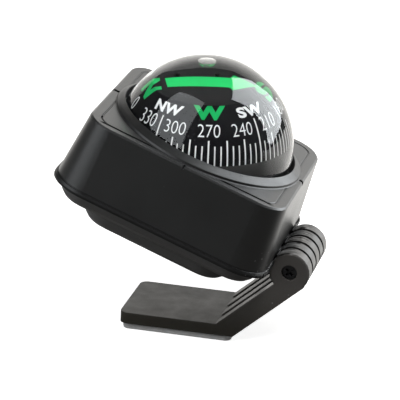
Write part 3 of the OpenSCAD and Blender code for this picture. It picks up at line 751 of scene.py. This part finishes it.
def foam_pad():
    """Double-sided foam pad between the foot and the ground: a rounded rectangle whose cut sides stand 0.16 mm in,
    bulge by 0.13 mm in the middle as a power of a sine, and wander by three sines along the way round."""
    length, width, radius, thick = 26.3 * MM, 21.4 * MM, 1.7 * MM, 1.5 * MM
    signs = ((1, 1), (-1, 1), (-1, -1), (1, -1))
    corners = [np.array([sx * (length / 2 - radius), sy * (width / 2 - radius)]) for sx, sy in signs]
    outline = []
    for k, corner in enumerate(corners):
        outline += list(arc(radius, 90 * k, 90 * k + 90, 14, corner))
        start, end = outline[-1], arc(radius, 90 * k + 90, 90 * k + 90, 1, corners[(k + 1) % 4])[0]
        outline += [start + (end - start) * f for f in np.linspace(0, 1, 62)[1:-1]]
    outline = np.array(outline)
    along = np.roll(outline, -1, 0) - np.roll(outline, 1, 0)
    out = np.stack([along[:, 1], -along[:, 0]], 1) / np.linalg.norm(along, axis=1)[:, None]
    run = np.arange(len(outline)) * TAU / len(outline)
    uneven = 0.4 * np.sin(17 * run + 1) + 0.35 * np.sin(31 * run + 2.2) + 0.25 * np.sin(53 * run + 0.4)
    points, rows = [], []
    for f in np.linspace(0, 1, 11):
        bulge = 0.13 * math.sin(math.pi * f) ** 0.8
        wander = 0.03 * uneven * math.sin(math.pi * (0.15 + 0.7 * f))
        ring = outline + out * ((bulge + wander - 0.16) * MM)[:, None]
        rows.append(range(len(points), len(points) + len(ring)))
        points += [(x, y, f * thick) for x, y in ring]
    faces = []
    for a, b in zip(rows, rows[1:]):
        faces += [[a[i], a[(i + 1) % len(a)], b[(i + 1) % len(a)], b[i]] for i in range(len(a))]
    for row, level in ((rows[0], 0.0), (rows[-1], thick)):
        points.append((0, 0, level))
        faces += [[row[i], row[(i + 1) % len(row)], len(points) - 1] for i in range(len(row))]
    obj = outwards(mesh_piece("foam_pad", points, faces, "bracket", FOAM))
    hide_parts("adhesive_pad")
    sharpen(obj, 50)


def strip(sides):
    """Points and faces of a strip with four long sides and two ends, from the points of its sides in the order round
    its section."""
    n = len(sides[0])
    faces = []
    for k in range(4):
        m = (k + 1) % 4
        faces += [[k * n + i, k * n + i + 1, m * n + i + 1, m * n + i] for i in range(n - 1)]
    faces += [[k * n for k in range(4)], [k * n + n - 1 for k in range(4)]]
    return np.concatenate(sides), faces


def hinge_guards():
    """Three thin, very dark curved strips on the housing beside the bracket's ears, so that little light passes
    between: they close the gap, and their darkness there is painted shade. Each is a part of a tube round the hinge
    axis."""
    inner, outer = 4.8 * MM, 5.14 * MM
    angle = np.radians(np.linspace(126, 172, 18))
    round_by = np.stack([np.cos(angle), 0 * angle, np.sin(angle)], 1)
    for name, low, high in (("a", -11.25, -7.15), ("b", -2.05, 2.05), ("c", 7.15, 11.25)):
        section = ((inner, low), (outer, low), (outer, high), (inner, high))
        points, faces = strip([HINGE + r * round_by + y * MM * HOUSING_V for r, y in section])
        obj = outwards(mesh_piece("hinge_shade_guard_" + name, points, faces, "housing", PIN, False))


def seam_strip():
    """Narrow strip low in the gap round the bezel, at the left, the back and the right: a rounded square path with a
    flat section."""
    half, corner = SEAM_AWAY / MM, 3.55
    straight = half - corner
    path = [[half, -straight - 1.0]]
    path += list(arc(corner, 0, 90, 12, (straight, straight)))
    path += list(arc(corner, 90, 180, 12, (-straight, straight)))
    path += [[-half, -straight + 0.5]]
    path = np.array(path)
    along = np.gradient(path, axis=0)
    out = np.stack([along[:, 1], -along[:, 0]], 1) / np.linalg.norm(along, axis=1)[:, None]
    sides = []
    for side, level in ((-0.17, -0.12), (0.17, -0.12), (0.17, -0.5), (-0.17, -0.5)):
        spot = np.column_stack([path + side * out, np.full(len(path), level)]) * MM
        sides.append(HOUSING_O + spot @ HOUSING_AXES)
    points, faces = strip(sides)
    obj = outwards(mesh_piece("bezel_seam_strip", points, faces, "housing", BLACK_BEZEL, False))


ring_crown()
hinge_guards()
seam_strip()
foam_pad()
card_shell()
lettering()
north_arrow()
top_pins()
dome_shell()
bubble()

# ---- Stage, light and camera


def stage_piece(name, points, faces, material, camera=True):
    """A flat surface that isn't a part of the object."""
    mesh = bpy.data.meshes.new(name)
    mesh.from_pydata([tuple(p) for p in points], [], faces)
    mesh.materials.append(material)
    obj = bpy.data.objects.new(name, mesh)
    bpy.context.scene.collection.objects.link(obj)
    obj.visible_camera = camera
    return obj


def backdrop_look(name):
    """White to the camera, with the object's soft shadow. For other rays it is bright behind the object, less so high
    up and far to the left, dimmer just in front and dark beyond."""
    s = Shade(name)
    x, y, z = s.place()
    camera = s.node("ShaderNodeLightPath", output="Is Camera Ray")
    near = y.ramp(-0.28, -0.17) * y.ramp(-0.01, -0.04)
    close = y.ramp(0.0, 0.03) * y.ramp(0.2, 0.12)
    level = 0.08 + 0.12 * near + 1.6 * y.ramp(-0.02, 0.1) + 0.5 * close - 0.8 * z.ramp(0.7, 1.3)
    level = level - 0.75 * x.ramp(-0.9, -2.3)
    seen = s.node("ShaderNodeEmission", Color=s.vector(level, level * 0.985, level * 0.95), Strength=1.0)
    pale = s.node("ShaderNodeBsdfDiffuse", Color=(0.9, 0.9, 0.9, 1))
    white = s.node("ShaderNodeEmission", Color=(1, 1, 1, 1), Strength=0.85)
    ground = s.node("ShaderNodeAddShader", _0=pale, _1=white)
    return s.finish(s.node("ShaderNodeMixShader", _0=camera, _1=seen, _2=ground))


def direction(turn, height):
    """Unit vector at a turn from the x axis and a height, in degrees."""
    t, h = math.radians(turn), math.radians(height)
    return np.array([math.cos(t) * math.cos(h), math.sin(t) * math.cos(h), math.sin(h)])


def backdrop():
    """A flat floor just under the object and an upright card behind it, whose outline is given as (turn, height) in
    degrees from the ball."""
    far, floor_z = 1.6, -0.2 * MM
    outline = [(57, 8), (59, 20), (63, 27.6), (68.5, 35.5), (80, 40), (88, 46), (102, 49), (120, 46), (126, 40.5)]
    outline += [(129, 34), (128, 25), (131.7, 22.7), (145.8, 21)]
    card = [(BALL[0] + far / math.tan(math.radians(turn)), far, 0.0) for turn in (145.8, 56)]
    for turn, height in outline:
        way = direction(turn, height)
        card.append((BALL[0] + far * way[0] / way[1], far, BALL[2] + far * way[2] / way[1]))
    floor = [(-far, -far, floor_z), (far, -far, floor_z), (far, far, floor_z), (-far, far, floor_z)]
    look = backdrop_look("floor_white")
    stage_piece("floor", floor, [(0, 1, 2, 3)], look)
    stage_piece("back_card", card, [tuple(range(len(card)))], look)


def glow(name, level):
    """Cool white light, weaker towards the back and at the card's border."""
    s = Shade(name)
    inner = s.node("ShaderNodeAttribute", {"attribute_name": "inner"}, "Fac")
    part = (1.1 - 0.34 * s.place()[1].ramp(0.3, 0.62)) * inner
    return s.finish(s.node("ShaderNodeEmission", Color=s.vector(0.93 * part, 0.97 * part, part), Strength=level))


def reflected_card(name, corners, level):
    """Bright card seen only in shiny surfaces, at directions (turn, height) in degrees from the ball. Its light fades
    over a narrow border."""
    reach = 0.7
    points = [BALL + reach * direction(turn, height) for turn, height in corners]
    count, middle = len(points), np.mean(points, axis=0)
    both = [tuple(middle + (p - middle) * size) for size in (0.975, 1.025) for p in points]
    faces = [tuple(range(count))] + [(i, (i + 1) % count, (i + 1) % count + count, i + count) for i in range(count)]
    obj = stage_piece(name, both, faces, glow(name + "_glow", level), False)
    inner = obj.data.attributes.new("inner", "FLOAT", "POINT")
    inner.data.foreach_set("value", np.repeat([1.0, 0.0], count))
    obj.visible_diffuse = False
    obj.visible_shadow = False
    obj.visible_transmission = False


def area_light(name, at, power):
    """Square light of half a metre, aimed at the object and not seen in shiny surfaces."""
    aim = (0, 0, 0.03)
    data = bpy.data.lights.new(name, "AREA")
    data.size = 0.5
    data.energy = power
    obj = bpy.data.objects.new(name, data)
    bpy.context.scene.collection.objects.link(obj)
    obj.location = at
    obj.rotation_euler = (Vector(aim) - Vector(at)).to_track_quat("-Z", "Y").to_euler()
    obj.visible_glossy = False


def surround():
    """White to the camera, a faint grey light to all else."""
    world = bpy.data.worlds.new("surround")
    bpy.context.scene.world = world
    world.use_nodes = True
    nodes, links = world.node_tree.nodes, world.node_tree.links
    nodes.clear()
    camera_ray = nodes.new("ShaderNodeLightPath").outputs["Is Camera Ray"]
    blend = nodes.new("ShaderNodeMixShader")
    links.new(camera_ray, blend.inputs[0])
    for slot, level in ((1, 0.08), (2, 1.0)):
        light = nodes.new("ShaderNodeBackground")
        light.inputs["Color"].default_value = rgba(level)
        links.new(light.outputs[0], blend.inputs[slot])
    links.new(blend.outputs[0], nodes.new("ShaderNodeOutputWorld").inputs["Surface"])


def camera():
    """Camera at the photographed place: turned about the object, raised, and rolled a little. The aim lies at a pixel
    beside the picture's middle, and the focal length is in pixels."""
    turn, rise, roll = math.radians(11.8), math.radians(18.57), math.radians(2.97)
    reach, focal, picture, sensor = 682.5 * MM, 2923.46, 400, 36
    aim, aim_pixel = np.array([3.05, 0, 46.36]) * MM, (207.93, 135.55)
    back = np.array([math.sin(turn) * math.cos(rise), -math.cos(turn) * math.cos(rise), math.sin(rise)])
    right = np.array([math.cos(turn), math.sin(turn), 0])
    up = np.cross(back, right)
    right, up = right * math.cos(roll) + up * math.sin(roll), up * math.cos(roll) - right * math.sin(roll)
    beside, below = [(pixel - picture / 2) / focal for pixel in aim_pixel]
    eye = aim + reach * (back - right * beside + up * below)
    data = bpy.data.cameras.new("camera")
    data.sensor_width = sensor
    data.lens = focal / picture * sensor
    data.clip_start = 0.01
    obj = bpy.data.objects.new("camera", data)
    bpy.context.scene.collection.objects.link(obj)
    place = np.eye(4)
    place[:3] = np.stack([right, up, back, eye], 1)
    obj.matrix_world = Matrix(place.tolist())
    bpy.context.scene.camera = obj


LEFT_CARD = [(-174, 63), (-82, 69.6), (-108, 1.5), (-153.8, 4), (-160.2, 25), (-163, 34.8), (-168.1, 50.4)]
RIGHT_CARD = [(67.4, 53.9), (67.2, 33.7), (63.5, 24.2), (63, 14.6), (60.4, 8.1), (51.6, 5.4), (31.3, 4.7)]
RIGHT_CARD += [(17.9, 1.1), (11.2, 4.2), (13.6, 16.1), (12.5, 31.2), (9.5, 47.8), (0, 62.2)]
backdrop()
reflected_card("left_card", LEFT_CARD, 2.9)
reflected_card("right_card", RIGHT_CARD, 9.2)
area_light("key", (0.25, -0.5, 1.0), 9.5)
area_light("fill", (-0.6, -0.55, 0.45), 3)
surround()
camera()
bpy.context.scene.view_settings.view_transform = "Standard"
